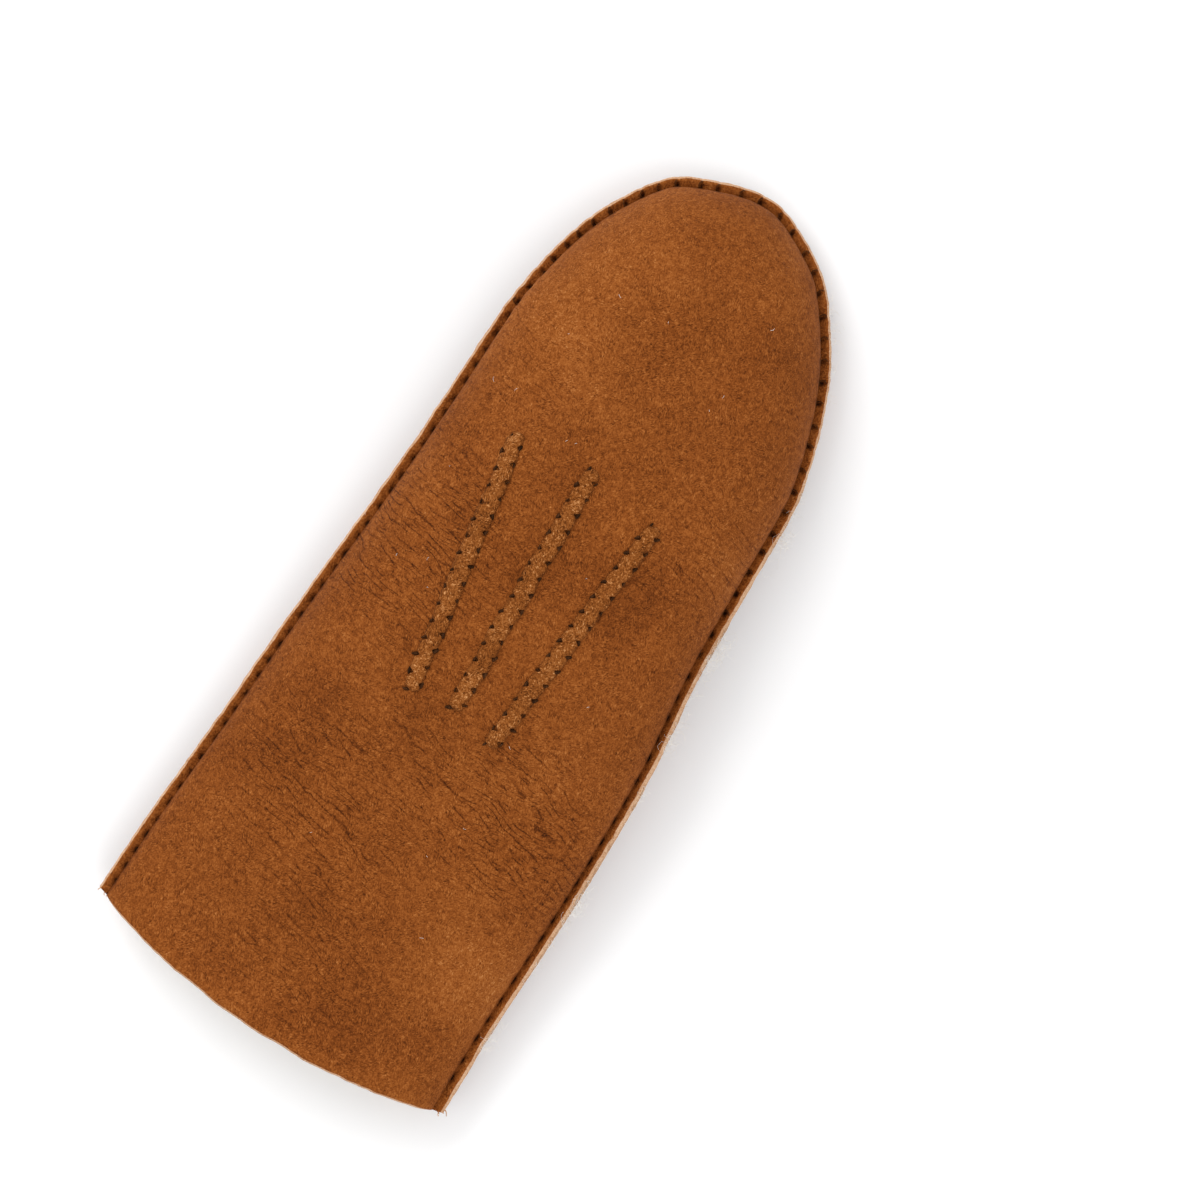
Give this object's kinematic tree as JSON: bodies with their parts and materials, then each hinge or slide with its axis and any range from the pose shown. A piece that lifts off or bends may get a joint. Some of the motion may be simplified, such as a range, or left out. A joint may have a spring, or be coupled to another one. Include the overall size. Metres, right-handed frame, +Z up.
{
  "type": "shearling mitten",
  "caption": "Tan suede shearling mitten for the left hand lying palm down, with raised stitched points on the back, a rounded tip and wool inside the open cuff.",
  "frame": {"origin": "on the floor, under the middle of the mitten's bounding box", "axes": "+X across to the thumb side, +Y from the cuff to the fingertips, +Z up from the floor through the back of the hand"},
  "size_m": [0.1146, 0.27, 0.0449],
  "materials": {
    "back_suede": "matte",
    "palm_suede": "matte",
    "wool": "matte"
  },
  "bodies": {
    "root": {"back_leather": "back_suede", "palm_leather": "palm_suede", "thumb_outer_leather": "palm_suede", "thumb_inner_leather": "palm_suede", "back_fleece": "wool", "palm_fleece": "wool", "thumb_outer_fleece": "wool", "thumb_inner_fleece": "wool"}
  },
  "joints": []
}
